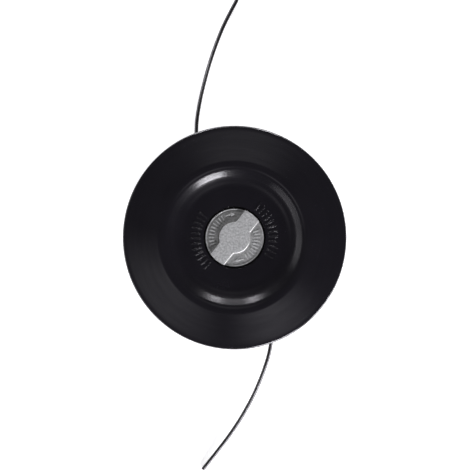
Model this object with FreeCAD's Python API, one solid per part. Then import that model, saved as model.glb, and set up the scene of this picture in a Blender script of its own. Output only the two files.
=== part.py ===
"""Trimmer head with two line ends and automatic feed, seen from its ground side in the photograph.

The head stands on the end of its hub. The axis of the spindle is Z, and +Z points to the ground side,
where the saucer shaped cover and the die-cast knob are. Millimetres.
"""
import FreeCAD, Part
import math
import os

V = FreeCAD.Vector
AXIS = V(0, 0, 1)
ROUND_MIDDLE = 1 - math.sqrt(0.5)

# Cutting line
line_diameter = 2.4
line_layers = 5
line_rows = 3

# Cover: a saucer with a bowl in its middle
disc_radius = 67.0
cover_thickness = 2.6
bowl_wall_width = 14.4
bowl_wall_angle = 38.0
bowl_floor_blend = 15.0
bowl_lip_blend = 7.8
pocket_edge_round = 0.35
lip_inset = 6.1
lip_flat = 0.7
lip_outer_blend = 10.0
disc_fall_angle = 10.0
cover_skirt_thickness = 2.4
cover_skirt_depth = 3.0
cover_skirt_clearance = 0.2
cover_key_count = 4
cover_key_width = 7.6
cover_key_depth = 2.8
cover_key_clearance = 0.2

# Knob
knob_radius = 17.5
knob_gap = 0.8
knob_height = 6.5
knob_proud = 0.8
knob_edge_round = 0.4
knob_boss_radius = 9.3
knob_bar_width = 10.3
knob_bar_direction = 51.5
knob_pocket_depth = 1.6
knob_pocket_fall = 0.8
knob_pocket_draft = 0.5
knob_neck_radius = 8.4
knob_neck_length = 2.6
knob_neck_clearance = 0.4
knob_washer_thickness = 1.0
knob_washer_inset = 1.0
knob_washer_bore_clearance = 0.15
knob_pocket_wall = 2.3
knob_pocket_floor = 2.2
insert_radius = 6.4
insert_length = 7.2

# Spindle: left-hand threads at both ends, modelled at their plain diameters
arbor_minor_radius = 5.05
arbor_thread_length = 15.0
arbor_mouth_chamfer = 0.7
drill_point_slope = 31.0
spindle_hex_flats = 22.0
spindle_hex_height = 5.0
spindle_collar_radius = 14.5
spindle_collar_height = 2.0
spindle_neck_radius = 9.0
spindle_shaft_radius = 7.0
stud_radius = 4.51
stud_chamfer = 0.8
stud_end_gap = 0.3
shaft_end_gap = 0.2
thread_clearance = 0.05

# Housing: hub, floor, cup wall
hub_radius = 22.0
hub_height = 9.0
hub_chamfer = 1.0
pilot_radius = 12.75
pilot_depth = 3.0
pilot_chamfer = 0.5
housing_radius = 50.0
housing_wall = 2.8
housing_floor = 2.5
housing_foot_round = 3.0
wall_top_below_bowl = 0.5
fan_rib_count = 12
fan_rib_thickness = 1.8
fan_rib_inner_drop = 5.2
fan_rib_outer_drop = 1.0
fan_rib_end_gap = 3.0
fan_rib_flat = 2.0
grip_rib_count = 24
grip_rib_radius = 1.3
grip_rib_proud = 0.8
grip_rib_foot_gap = 5.0
grip_rib_skirt_gap = 2.0
grip_rib_eyelet_gap = 11.0

# Line exits
exit_angle = 113.0
eyelet_pad_radius = 6.6
eyelet_pad_proud = 1.2
eyelet_bore_radius = 1.8
eyelet_barrel_radius = 3.0
eyelet_flange_radius = 4.6
eyelet_flange_thickness = 1.3
eyelet_inner_length = 0.8
eyelet_mouth_round = 0.7

# Spool
spool_bottom_gap = 1.0
spool_top_gap = 1.7
spool_wall_clearance = 1.7
spool_outer_flange = 2.0
spool_middle_flange = 1.8
spool_chamber_spare = 1.2
spool_core_clearance = 2.8
spool_core_wall = 2.6
spool_web = 3.0
spool_hub_radius = 11.5
spool_notch_width = 3.4
spool_notch_depth = 6.0
spool_notch_count = 2
spool_notch_angle = 60.0
spool_rib_count = 6
spool_rib_thickness = 1.8
spool_rib_drop = 0.7
spool_rib_angle = 15.0
lug_count = 3
lug_height = 2.9
lug_width_angle = 12.0
lug_length = 7.0
bush_wall = 1.6
bearing_clearance = 0.05
thrust_clearance = 0.1
lower_washer_thickness = 1.0
lower_washer_radius = 11.0
upper_washer_thickness = 1.4
upper_washer_radius = 12.0
washer_bore_clearance = 0.1

# Feed slide
slide_clearance = 0.1
slide_thickness = 4.0
slide_half_width = 17.0
slide_side_clearance = 0.15
slide_corner = 4.0
slide_back = 27.0
slide_travel = 4.0
slide_slot_clearance = 0.5
post_width = 4.6
post_depth = 2.4
post_lug_clearance = 0.25
post_core_clearance = 0.3
post_top_gap = 1.0
rail_length = 44.0
rail_thickness = 2.0
rail_top_gap = 0.3
weight_post_gap = 3.4
weight_width = 18.0
weight_depth = 3.0
weight_edge = 1.6

# Spring of the slide
spring_wire = 0.7
spring_outer_radius = 2.35
spring_turns = 5.0
spring_length = 9.0
spring_end_gap = 0.05
spring_pin_radius = 1.3
spring_pin_reach = 4.0
spring_block_width = 10.0
spring_block_thickness = 5.2
spring_block_top_gap = 0.4

# Free ends of the line: hand-set route points, from inside the eyelet down to the floor
free_line_a_route = (
    (-18.05, 42.53, 27.9),
    (-23.05, 54.31, 27.9),
    (-23.70, 68.50, 26.2),
    (-21.80, 82.60, 22.0),
    (-18.90, 96.40, 16.6),
    (-15.40, 110.20, 11.0),
    (-10.90, 124.00, 6.1),
    (-5.50, 137.60, 2.7),
    (1.50, 150.60, 1.35),
)
free_line_b_route = (
    (18.05, -42.53, 27.9),
    (23.05, -54.31, 27.9),
    (22.00, -68.80, 26.2),
    (17.70, -83.20, 22.0),
    (12.20, -97.30, 16.6),
    (5.30, -110.90, 11.0),
    (-2.60, -123.80, 6.1),
    (-11.50, -135.90, 2.7),
    (-20.10, -146.90, 1.35),
)
arc_share = 0.45

# How far a cutting shape runs past the solid, and how deep a moulded-on shape is sunk in it
cut_over = 1.0
weld = 0.5

# Radii that follow from the sizes above
housing_inner_radius = housing_radius - housing_wall
lip_radius = housing_radius - lip_inset
bowl_floor_radius = lip_radius - bowl_wall_width
pocket_radius = knob_radius + knob_gap
pocket_outer_radius = pocket_radius + knob_pocket_wall
ledge_hole_radius = knob_neck_radius + knob_neck_clearance
knob_washer_radius = knob_radius - knob_washer_inset
spool_radius = housing_inner_radius - spool_wall_clearance
spool_core_inner = pocket_outer_radius + spool_core_clearance
spool_core_radius = spool_core_inner + spool_core_wall
lug_inner_radius = spool_core_inner - lug_height
bush_bore_radius = spindle_shaft_radius + bearing_clearance
bush_radius = bush_bore_radius + bush_wall
post_engaged_radius = math.sqrt((spool_core_inner - post_core_clearance) ** 2 - (post_width / 2) ** 2)
post_free_radius = post_engaged_radius - slide_travel
eyelet_face = housing_radius + eyelet_pad_proud
spring_block_face = housing_inner_radius - spring_block_thickness
slide_front = spring_block_face - spring_length
weight_front = slide_front - weight_edge
weight_back = post_free_radius + weight_post_gap
spring_mean_radius = spring_outer_radius - spring_wire / 2

# Heights that follow from the sizes above
floor_top = hub_height + housing_floor
slide_bottom = floor_top + slide_clearance
slide_top = slide_bottom + slide_thickness
spool_bottom = slide_top + spool_bottom_gap
spool_chamber = line_rows * line_diameter + spool_chamber_spare
lower_chamber = spool_bottom + spool_outer_flange
middle_flange_bottom = lower_chamber + spool_chamber
middle_flange_top = middle_flange_bottom + spool_middle_flange
upper_chamber_top = middle_flange_top + spool_chamber
spool_top = upper_chamber_top + spool_outer_flange
exit_height = (middle_flange_bottom + middle_flange_top) / 2
web_bottom = exit_height - spool_web / 2
web_top = exit_height + spool_web / 2
lug_bottom = web_bottom - lug_length
spool_hub_bottom = spool_bottom + lower_washer_thickness + thrust_clearance
bowl_floor_top = spool_top + spool_top_gap + cover_thickness
wall_top = bowl_floor_top - wall_top_below_bowl
grip_rib_bottom = hub_height + grip_rib_foot_gap
grip_rib_top = wall_top - cover_skirt_depth - grip_rib_skirt_gap
knob_top = bowl_floor_top + knob_proud
knob_bottom = knob_top - knob_height
washer_bottom = knob_bottom - knob_washer_thickness
ledge_bottom = washer_bottom - knob_pocket_floor
upper_washer_bottom = ledge_bottom - upper_washer_thickness
spool_hub_top = upper_washer_bottom - thrust_clearance
shaft_top = ledge_bottom - shaft_end_gap
insert_bottom = knob_bottom - knob_neck_length
insert_top = insert_bottom + insert_length
stud_top = insert_top - stud_end_gap
post_top = web_bottom - post_top_gap
spring_axis_height = (floor_top + spool_bottom) / 2


def outline(start, *moves):
    """A closed face in the XZ plane: a move is an end point, or a middle and an end point of an arc."""
    edges = []
    first = V(start[0], 0, start[1])
    here = first
    for move in moves:
        there = V(move[-2], 0, move[-1])
        if len(move) == 2:
            edges.append(Part.LineSegment(here, there).toShape())
        else:
            edges.append(Part.Arc(here, V(move[0], 0, move[1]), there).toShape())
        here = there
    edges.append(Part.LineSegment(here, first).toShape())
    return Part.Face(Part.Wire(edges))


def turned(start, *moves):
    """The solid that an outline makes when it is turned about the head's axis."""
    return outline(start, *moves).revolve(V(0, 0, 0), AXIS, 360)


def cylinder(radius, bottom, top):
    """A plain round solid on the head's axis."""
    return Part.makeCylinder(radius, top - bottom, V(0, 0, bottom))


def ring(inner, outer, bottom, top):
    """A plain ring on the head's axis."""
    return cylinder(outer, bottom, top).cut(cylinder(inner, bottom, top))


def block(low, high):
    """A box between two corners."""
    return Part.makeBox(high[0] - low[0], high[1] - low[1], high[2] - low[2], V(*low))


def spun(shape, angle):
    """A copy of a shape, turned about the head's axis."""
    copy = shape.copy()
    copy.rotate(V(0, 0, 0), AXIS, angle)
    return copy


def pattern(shape, count, start=0.0):
    """Equal copies round the head's axis."""
    return [spun(shape, start + i * 360.0 / count) for i in range(count)]


def fin(points, thickness):
    """A flat upright rib in the XZ plane, as thick as said, centred on it."""
    corners = [V(x, -thickness / 2, z) for x, z in points]
    face = Part.Face(Part.makePolygon(corners + corners[:1]))
    return face.extrude(V(0, thickness, 0))


def joined(base, parts):
    """One solid from a base and the parts that are moulded on it."""
    return base.fuse(parts).removeSplitter()


def bend(point, slope_in, slope_out, radius):
    """Middle and end of an arc that starts at a point of a section and changes its slope."""
    side = 1.0 if slope_out > slope_in else -1.0
    centre_r = point[0] - side * radius * math.sin(slope_in)
    centre_z = point[1] + side * radius * math.cos(slope_in)
    found = []
    for slope in ((slope_in + slope_out) / 2, slope_out):
        r = centre_r + side * radius * math.sin(slope)
        z = centre_z - side * radius * math.cos(slope)
        found.append((r, z, slope))
    return found


def cover_stations():
    """The cover's upper face from bowl floor to rim, as radius, height and slope at each station."""
    wall = math.radians(bowl_wall_angle)
    fall = -math.radians(disc_fall_angle)
    floor_end = (bowl_floor_radius, bowl_floor_top, 0.0)
    foot = bend(floor_end, 0.0, wall, bowl_floor_blend)
    run = lip_radius - bowl_lip_blend * math.sin(wall) - foot[1][0]
    wall_end = (foot[1][0] + run, foot[1][1] + run * math.tan(wall), wall)
    lip = bend(wall_end, wall, 0.0, bowl_lip_blend)
    lip_end = (lip[1][0] + lip_flat, lip[1][1], 0.0)
    brow = bend(lip_end, 0.0, fall, lip_outer_blend)
    half = cover_thickness / 2
    rim_radius = disc_radius - half - half * math.sin(fall)
    rim_height = brow[1][1] + (rim_radius - brow[1][0]) * math.tan(fall)
    return {
        "floor_end": floor_end,
        "foot": foot,
        "wall_end": wall_end,
        "lip": lip,
        "lip_end": lip_end,
        "brow": brow,
        "rim": (rim_radius, rim_height, fall),
    }


def below(station, depth=cover_thickness):
    """The point square below a station of the upper face, as deep as said."""
    r, z, slope = station
    return (r + depth * math.sin(slope), z - depth * math.cos(slope))


def annulus_height(radius, depth=0.0):
    """Height of the outer cone of the cover at a radius, as deep under its upper face as said."""
    rim_r, rim_z, fall = cover_stations()["rim"]
    return rim_z + (radius - rim_r) * math.tan(fall) - depth / math.cos(fall)


def cover_shell():
    """The moulded saucer with its knob pocket, one turned section of even thickness."""
    s = cover_stations()
    rim = s["rim"]
    half = cover_thickness / 2
    middle = below(rim, half)
    rim_nose = (middle[0] + half * math.cos(rim[2]), middle[1] + half * math.sin(rim[2]))
    edge = pocket_edge_round
    edge_mid = edge * ROUND_MIDDLE
    under = bowl_floor_top - cover_thickness
    return turned(
        (ledge_hole_radius, washer_bottom),
        (pocket_radius, washer_bottom),
        (pocket_radius, bowl_floor_top - edge),
        (pocket_radius + edge_mid, bowl_floor_top - edge_mid, pocket_radius + edge, bowl_floor_top),
        s["floor_end"][:2],
        s["foot"][0][:2] + s["foot"][1][:2],
        s["wall_end"][:2],
        s["lip"][0][:2] + s["lip"][1][:2],
        s["lip_end"][:2],
        s["brow"][0][:2] + s["brow"][1][:2],
        rim[:2],
        rim_nose + below(rim),
        below(s["brow"][1]),
        below(s["brow"][0]) + below(s["lip_end"]),
        below(s["lip"][1]),
        below(s["lip"][0]) + below(s["wall_end"]),
        below(s["foot"][1]),
        below(s["foot"][0]) + below(s["floor_end"]),
        (pocket_outer_radius, under),
        (pocket_outer_radius, ledge_bottom),
        (ledge_hole_radius, ledge_bottom),
    )


def cover_disc():
    """Saucer, with the seat ring and skirt that sit on the cup, and the keys that stop it turning."""
    skirt_inner = housing_radius + cover_skirt_clearance
    skirt_outer = skirt_inner + cover_skirt_thickness
    buried = annulus_height(skirt_outer, cover_thickness / 2)
    seat = ring(housing_inner_radius + cover_skirt_clearance, skirt_outer, wall_top, buried)
    skirt = ring(skirt_inner, skirt_outer, wall_top - cover_skirt_depth, wall_top)
    key = block(
        (housing_inner_radius + cover_skirt_clearance, -cover_key_width / 2, wall_top - cover_key_depth),
        (housing_radius - cover_skirt_clearance, cover_key_width / 2, wall_top + weld),
    )
    keys = pattern(key, cover_key_count, 360.0 / cover_key_count / 2)
    return joined(cover_shell(), [seat, skirt] + keys)


def knob_raised_part():
    """The bar and the round boss that stand between the finger pockets, with drafted sides."""
    floor = knob_top - knob_pocket_depth - knob_pocket_fall
    above = knob_top + cut_over
    half = knob_bar_width / 2
    foot = half + knob_pocket_draft
    reach = knob_radius + cut_over
    right = ((foot, floor), (half, knob_top), (half, above))
    section = right + tuple((-y, z) for y, z in reversed(right))
    corners = [V(-reach, y, z) for y, z in section]
    bar = Part.Face(Part.makePolygon(corners + corners[:1])).extrude(V(2 * reach, 0, 0))
    boss = turned(
        (0, floor),
        (knob_boss_radius + knob_pocket_draft, floor),
        (knob_boss_radius, knob_top),
        (knob_boss_radius, above),
        (0, above),
    )
    return spun(bar, knob_bar_direction).fuse(boss)


def knob():
    """Die-cast knob: round head with two finger pockets, and a neck that ends just above the spindle."""
    edge = knob_edge_round
    mid = edge * ROUND_MIDDLE
    rim = knob_radius - mid
    head = turned(
        (0, insert_bottom),
        (knob_neck_radius, insert_bottom),
        (knob_neck_radius, knob_bottom),
        (knob_radius - edge, knob_bottom),
        (rim, knob_bottom + mid, knob_radius, knob_bottom + edge),
        (knob_radius, knob_top - edge),
        (rim, knob_top - mid, knob_radius - edge, knob_top),
        (0, knob_top),
    )
    floor = knob_top - knob_pocket_depth - knob_pocket_fall
    outside = knob_radius + cut_over
    pockets = turned(
        (0, knob_top - knob_pocket_depth),
        (knob_boss_radius, knob_top - knob_pocket_depth),
        (knob_radius - edge, floor),
        (rim, floor - mid, knob_radius, floor - edge),
        (outside, floor - edge),
        (outside, knob_top + cut_over),
        (0, knob_top + cut_over),
    ).cut(knob_raised_part())
    seat = cylinder(insert_radius, insert_bottom, insert_top)
    return head.cut([pockets, seat])


def knob_insert():
    """Brass nut cast into the knob, with its plain thread bore, which the knob closes above the stud."""
    return ring(stud_radius + thread_clearance, insert_radius, insert_bottom, insert_top)


def spindle_form():
    """The outside of the spindle: hex end, moulded-in collar, neck, bearing shaft and knob stud."""
    hex_corner = spindle_hex_flats / 2 / math.cos(math.pi / 6)
    corners = [V(hex_corner * math.cos(i * math.pi / 3), hex_corner * math.sin(i * math.pi / 3), pilot_depth)
               for i in range(7)]
    hexagon = Part.Face(Part.makePolygon(corners)).extrude(V(0, 0, spindle_hex_height))
    hex_top = pilot_depth + spindle_hex_height
    collar_bottom = pilot_depth + (spindle_hex_height - spindle_collar_height) / 2
    collar = cylinder(spindle_collar_radius, collar_bottom, collar_bottom + spindle_collar_height)
    shaft = turned(
        (0, pilot_depth),
        (spindle_neck_radius, pilot_depth),
        (spindle_neck_radius, spool_bottom),
        (spindle_shaft_radius, spool_bottom),
        (spindle_shaft_radius, shaft_top),
        (stud_radius, shaft_top),
        (stud_radius, stud_top - stud_chamfer),
        (stud_radius - stud_chamfer, stud_top),
        (0, stud_top),
    )
    return joined(shaft, [hexagon, collar])


def spindle():
    """Steel spindle with its blind arbor thread bore, chamfered at the mouth and ending in a drill point."""
    mouth = pilot_depth + arbor_mouth_chamfer
    end = mouth + arbor_thread_length
    bore = turned(
        (0, pilot_depth),
        (arbor_minor_radius + arbor_mouth_chamfer, pilot_depth),
        (arbor_minor_radius, mouth),
        (arbor_minor_radius, end),
        (0, end + arbor_minor_radius * math.tan(math.radians(drill_point_slope))),
    )
    return spindle_form().cut(bore)


def housing_shell():
    """Hub, floor and cup wall, one turned section."""
    foot_mid = housing_foot_round * ROUND_MIDDLE
    return turned(
        (0, pilot_depth),
        (pilot_radius, pilot_depth),
        (pilot_radius, pilot_chamfer),
        (pilot_radius + pilot_chamfer, 0),
        (hub_radius - hub_chamfer, 0),
        (hub_radius, hub_chamfer),
        (hub_radius, hub_height),
        (housing_radius - housing_foot_round, hub_height),
        (housing_radius - foot_mid, hub_height + foot_mid, housing_radius, hub_height + housing_foot_round),
        (housing_radius, wall_top),
        (housing_inner_radius, wall_top),
        (housing_inner_radius, floor_top),
        (0, floor_top),
    )


def fan_rib():
    """One rib below the floor, deep at the hub and shallow at the wall."""
    start = hub_radius - 2 * weld
    end = housing_radius - fan_rib_end_gap
    top = hub_height + housing_floor / 2
    return fin(
        (
            (start, top),
            (start, hub_height - fan_rib_inner_drop),
            (hub_radius + fan_rib_flat, hub_height - fan_rib_inner_drop),
            (end, hub_height - fan_rib_outer_drop),
            (end, top),
        ),
        fan_rib_thickness,
    )


def grip_ribs():
    """Upright half-round ribs on the cup wall, left out beside the line exits."""
    centre = housing_radius + grip_rib_proud - grip_rib_radius
    length = grip_rib_top - grip_rib_bottom
    one = Part.makeCylinder(grip_rib_radius, length, V(centre, 0, grip_rib_bottom))
    kept = []
    for i in range(grip_rib_count):
        angle = i * 360.0 / grip_rib_count
        away = abs((angle - exit_angle + 90.0) % 180.0 - 90.0)
        if away > grip_rib_eyelet_gap:
            kept.append(spun(one, angle))
    return kept


def radial_cylinder(radius, inner, outer):
    """A round solid that points outwards along +X at the height of the line exits."""
    return Part.makeCylinder(radius, outer - inner, V(inner, 0, exit_height), V(1, 0, 0))


def slide_guides():
    """The two rails that the feed slide runs between, and the block that holds its spring."""
    rail_inner = slide_half_width + slide_side_clearance
    rail_top = slide_top - rail_top_gap
    rails = [
        block((-rail_length / 2, side, floor_top - weld), (rail_length / 2, side + rail_thickness, rail_top))
        for side in (rail_inner, -rail_inner - rail_thickness)
    ]
    end = block(
        (spring_block_face, -spring_block_width / 2, floor_top - weld),
        (housing_radius - housing_wall / 2, spring_block_width / 2, spool_bottom - spring_block_top_gap),
    )
    return rails + [end]


def spring_pin():
    """Pin pressed in the block, which keeps the spring in line."""
    return Part.makeCylinder(
        spring_pin_radius,
        spring_pin_reach + spring_block_thickness / 2,
        V(spring_block_face - spring_pin_reach, 0, spring_axis_height),
        V(1, 0, 0),
    )


def housing():
    """Moulded cup with hub, fan ribs, grip ribs, pads and holes for the eyelets, rails and spring block."""
    inner = housing_radius - housing_wall / 2
    pad = radial_cylinder(eyelet_pad_radius, inner, eyelet_face)
    pads = pattern(pad, 2, exit_angle)
    body = joined(
        housing_shell(),
        pattern(fan_rib(), fan_rib_count) + grip_ribs() + pads + slide_guides(),
    )
    hole = radial_cylinder(eyelet_barrel_radius, spool_radius, eyelet_face + cut_over)
    notch_half = cover_key_width / 2 + cover_key_clearance
    notch = block(
        (housing_inner_radius - cut_over, -notch_half, wall_top - cover_key_depth - cover_key_clearance),
        (housing_radius + cut_over, notch_half, wall_top + cut_over),
    )
    cuts = pattern(hole, 2, exit_angle)
    cuts += pattern(notch, cover_key_count, 360.0 / cover_key_count / 2)
    return body.cut(cuts + [spindle_form(), spring_pin()])


def line_eyelet():
    """Flanged eyelet with a rounded mouth, pointing along +X."""
    inner = housing_inner_radius - eyelet_inner_length
    outer = eyelet_face + eyelet_flange_thickness
    soft = eyelet_mouth_round
    mid = soft * ROUND_MIDDLE
    section = outline(
        (eyelet_bore_radius, inner),
        (eyelet_barrel_radius, inner),
        (eyelet_barrel_radius, eyelet_face),
        (eyelet_flange_radius, eyelet_face),
        (eyelet_flange_radius, outer - soft),
        (eyelet_flange_radius - mid, outer - mid, eyelet_flange_radius - soft, outer),
        (eyelet_bore_radius + soft, outer),
        (eyelet_bore_radius + mid, outer - mid, eyelet_bore_radius, outer - soft),
    )
    solid = section.revolve(V(0, 0, 0), AXIS, 360)
    solid.rotate(V(0, 0, 0), V(0, 1, 0), 90)
    solid.translate(V(0, 0, exit_height))
    return solid


def spool_body():
    """Three flanges, core, web and hub, one turned section."""
    return turned(
        (spool_core_inner, spool_bottom),
        (spool_radius, spool_bottom),
        (spool_radius, lower_chamber),
        (spool_core_radius, lower_chamber),
        (spool_core_radius, middle_flange_bottom),
        (spool_radius, middle_flange_bottom),
        (spool_radius, middle_flange_top),
        (spool_core_radius, middle_flange_top),
        (spool_core_radius, upper_chamber_top),
        (spool_radius, upper_chamber_top),
        (spool_radius, spool_top),
        (spool_core_inner, spool_top),
        (spool_core_inner, web_top),
        (spool_hub_radius, web_top),
        (spool_hub_radius, spool_hub_top),
        (bush_radius, spool_hub_top),
        (bush_radius, spool_hub_bottom),
        (spool_hub_radius, spool_hub_bottom),
        (spool_hub_radius, web_bottom),
        (spool_core_inner, web_bottom),
    )


def lug():
    """One stop lug inside the core, its flanks radial, drawn from +X over its own width."""
    band = ring(lug_inner_radius, spool_core_inner + spool_core_wall / 2, lug_bottom, web_bottom + weld)
    far = 2 * spool_core_radius
    turn = math.radians(lug_width_angle)
    corners = [V(0, 0, lug_bottom), V(far, 0, lug_bottom),
               V(far * math.cos(turn), far * math.sin(turn), lug_bottom), V(0, 0, lug_bottom)]
    wedge = Part.Face(Part.makePolygon(corners)).extrude(V(0, 0, lug_length + weld))
    return band.common(wedge)


def spool():
    """Spool with its stop lugs, stiffening ribs and the notches that park the line."""
    post_half_angle = math.degrees(math.asin((post_width / 2 + post_lug_clearance) / lug_inner_radius))
    lugs = pattern(lug(), lug_count, 180.0 + post_half_angle)
    rib = fin(
        (
            (spool_hub_radius - weld, web_top - weld),
            (spool_hub_radius - weld, spool_hub_top - spool_rib_drop),
            (spool_core_inner + weld, spool_hub_top - spool_rib_drop),
            (spool_core_inner + weld, web_top - weld),
        ),
        spool_rib_thickness,
    )
    body = joined(spool_body(), lugs + pattern(rib, spool_rib_count, spool_rib_angle))
    notch = block(
        (spool_radius - spool_notch_depth, -spool_notch_width / 2, middle_flange_bottom - cut_over),
        (spool_radius + cut_over, spool_notch_width / 2, spool_top + cut_over),
    )
    return body.cut(pattern(notch, spool_notch_count, spool_notch_angle))


def spool_bush():
    """Plain bearing in the spool's hub."""
    return ring(bush_bore_radius, bush_radius, spool_hub_bottom, spool_hub_top)


def line_winding(bottom):
    """The wound line in one chamber, its outer turns showing as rounds."""
    pitch = line_diameter + spool_chamber_spare / (line_rows + 1)
    outer = spool_core_radius + line_diameter * (1 + (line_layers - 1) * math.sqrt(0.75))
    neck = outer - line_diameter / 2
    moves = [(neck, bottom)]
    for row in range(line_rows):
        middle = bottom + pitch * (row + 0.5)
        moves.append((outer, middle, neck, middle + pitch / 2))
    moves.append((spool_core_radius, bottom + pitch * line_rows))
    return turned((spool_core_radius, bottom), *moves)


def feed_slide():
    """Slide plate with a long slot for the spindle, two posts and a pocket for its weight."""
    plate = block((-slide_back, -slide_half_width, slide_bottom), (slide_front, slide_half_width, slide_top))
    upright = [e for e in plate.Edges if abs(e.BoundBox.ZLength - slide_thickness) < weld / 10]
    plate = plate.makeFillet(slide_corner, upright)
    slot_half = spindle_neck_radius + slide_slot_clearance
    height = slide_thickness
    slot = block((-slide_travel, -slot_half, slide_bottom), (0, slot_half, slide_top))
    ends = [Part.makeCylinder(slot_half, height, V(x, 0, slide_bottom)) for x in (-slide_travel, 0)]
    pocket = weight_blank()
    plate = plate.cut([slot] + ends + [pocket])
    posts = []
    for outer in (post_free_radius, -post_engaged_radius + post_depth):
        posts.append(
            block((outer - post_depth, -post_width / 2, slide_top - weld), (outer, post_width / 2, post_top))
        )
    return joined(plate, posts)


def weight_blank():
    """The space of the slide's weight, sunk in the front of the plate."""
    return block(
        (weight_back, -weight_width / 2, slide_top - weight_depth),
        (weight_front, weight_width / 2, slide_top),
    )


def slide_spring():
    """Coil spring between the slide and the spring block."""
    length = spring_block_face - slide_front - 2 * spring_end_gap - spring_wire
    helix = Part.makeHelix(length / spring_turns, length, spring_mean_radius)
    wire_end = Part.Circle(V(spring_mean_radius, 0, 0), V(0, 1, 0), spring_wire / 2).toShape()
    coil = Part.Wire(helix.Edges).makePipeShell([Part.Wire(wire_end)], True, True)
    coil.rotate(V(0, 0, 0), V(0, 1, 0), 90)
    coil.translate(V(slide_front + spring_end_gap + spring_wire / 2, 0, spring_axis_height))
    return coil


def cord_path(points):
    """Straight runs joined by tangent arcs, as one wire, and the radius of each arc."""
    edges = []
    radii = []
    here = points[0]
    for before, corner, after in zip(points, points[1:], points[2:]):
        back = (before - corner) * (1.0 / before.distanceToPoint(corner))
        ahead = (after - corner) * (1.0 / after.distanceToPoint(corner))
        reach = arc_share * min(before.distanceToPoint(corner), after.distanceToPoint(corner))
        half_turn = (math.pi - back.getAngle(ahead)) / 2
        radius = reach / math.tan(half_turn)
        inward = back + ahead
        inward = inward * (1.0 / inward.Length)
        middle = corner + inward * (radius / math.cos(half_turn) - radius)
        start = corner + back * reach
        end = corner + ahead * reach
        edges.append(Part.LineSegment(here, start).toShape())
        edges.append(Part.Arc(start, middle, end).toShape())
        radii.append(radius)
        here = end
    edges.append(Part.LineSegment(here, points[-1]).toShape())
    return Part.Wire(edges), radii


def free_line(name, route):
    """One free end of the cutting line: a round tube along its route."""
    points = [V(*p) for p in route]
    path, radii = cord_path(points)
    section = Part.Circle(points[0], points[1] - points[0], line_diameter / 2).toShape()
    tube = path.makePipeShell([Part.Wire(section)], True, False)
    expected = math.pi * line_diameter**2 / 4 * path.Length
    print(name, "length", round(path.Length, 1), "radii", [round(r, 1) for r in radii])
    print(name, "volume", round(tube.Volume, 2), "section times length", round(expected, 2))
    return tube


def washer(bore, radius, bottom, thickness):
    """A flat washer on the head's axis."""
    return ring(bore, radius, bottom, bottom + thickness)


def save(name, shape):
    """Writes one sub-part, after looking that it is whole."""
    if not shape.isValid():
        raise ValueError(name + " is not a valid solid")
    shape.exportStep("parts/" + name + ".step")


def main():
    """Builds every piece and writes it."""
    os.makedirs("parts", exist_ok=True)
    shaft_bore = spindle_shaft_radius + washer_bore_clearance
    save("housing", housing())
    save("spindle", spindle())
    save("cover_disc", cover_disc())
    save("knob", knob())
    save("knob_insert", knob_insert())
    save("knob_washer", washer(knob_neck_radius + knob_washer_bore_clearance, knob_washer_radius,
                               washer_bottom, knob_washer_thickness))
    save("line_eyelet_a", spun(line_eyelet(), exit_angle))
    save("line_eyelet_b", spun(line_eyelet(), exit_angle + 180.0))
    save("spool", spool())
    save("spool_bush", spool_bush())
    save("line_winding_lower", line_winding(lower_chamber))
    save("line_winding_upper", line_winding(middle_flange_top))
    save("feed_slide", feed_slide())
    save("slide_weight", weight_blank())
    save("slide_spring", slide_spring())
    save("spring_pin", spring_pin())
    save("lower_thrust_washer", washer(shaft_bore, lower_washer_radius, spool_bottom, lower_washer_thickness))
    save("upper_thrust_washer", washer(shaft_bore, upper_washer_radius, upper_washer_bottom,
                                       upper_washer_thickness))
    save("free_line_a", free_line("free_line_a", free_line_a_route))
    save("free_line_b", free_line("free_line_b", free_line_b_route))


main()
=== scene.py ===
"""Looks of a grass trimmer head: black nylon saucer and cup, die-cast knob, nylon line ends.

Metres, in the frame of the CAD model: the head stands on its hub, and +Z points to its ground side.
"""
import math

import bmesh
import bpy
import numpy as np
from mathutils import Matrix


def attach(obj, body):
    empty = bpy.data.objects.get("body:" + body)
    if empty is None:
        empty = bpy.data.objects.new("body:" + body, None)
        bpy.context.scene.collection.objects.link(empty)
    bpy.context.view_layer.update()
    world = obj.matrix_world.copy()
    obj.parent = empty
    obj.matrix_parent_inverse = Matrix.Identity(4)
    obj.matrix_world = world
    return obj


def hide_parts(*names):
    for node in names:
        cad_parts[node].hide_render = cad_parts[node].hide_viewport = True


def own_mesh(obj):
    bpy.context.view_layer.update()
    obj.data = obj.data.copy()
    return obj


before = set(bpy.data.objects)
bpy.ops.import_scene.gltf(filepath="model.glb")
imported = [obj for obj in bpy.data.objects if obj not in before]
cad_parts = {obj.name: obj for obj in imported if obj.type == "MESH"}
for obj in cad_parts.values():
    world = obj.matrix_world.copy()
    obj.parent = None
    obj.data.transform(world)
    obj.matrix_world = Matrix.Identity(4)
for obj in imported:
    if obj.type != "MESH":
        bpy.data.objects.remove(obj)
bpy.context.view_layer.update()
scene = bpy.context.scene
MM = 0.001

# Camera. It looks straight down on the ground side, as the photograph does: image right is +X and
# image up is +Y. One pixel is 0.5983 mm at the height of the cover's rim.
PIXELS = 470
PIXEL_AT_RIM = 0.5983 * MM
RIM_HEIGHT = 44.0 * MM
CAMERA_ABOVE_RIM = 720 * MM
AXIS_PIXEL = (234.6, 237.6)

lens = bpy.data.cameras.new("camera")
lens.sensor_width = 36.0
lens.lens = lens.sensor_width * CAMERA_ABOVE_RIM / (PIXELS * PIXEL_AT_RIM)
lens.clip_start = 0.01
camera = bpy.data.objects.new("camera", lens)
camera.location = (
    (PIXELS / 2 - AXIS_PIXEL[0]) * PIXEL_AT_RIM,
    (AXIS_PIXEL[1] - PIXELS / 2) * PIXEL_AT_RIM,
    RIM_HEIGHT + CAMERA_ABOVE_RIM,
)
scene.collection.objects.link(camera)
scene.camera = camera
scene.view_settings.view_transform = "Standard"

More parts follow.
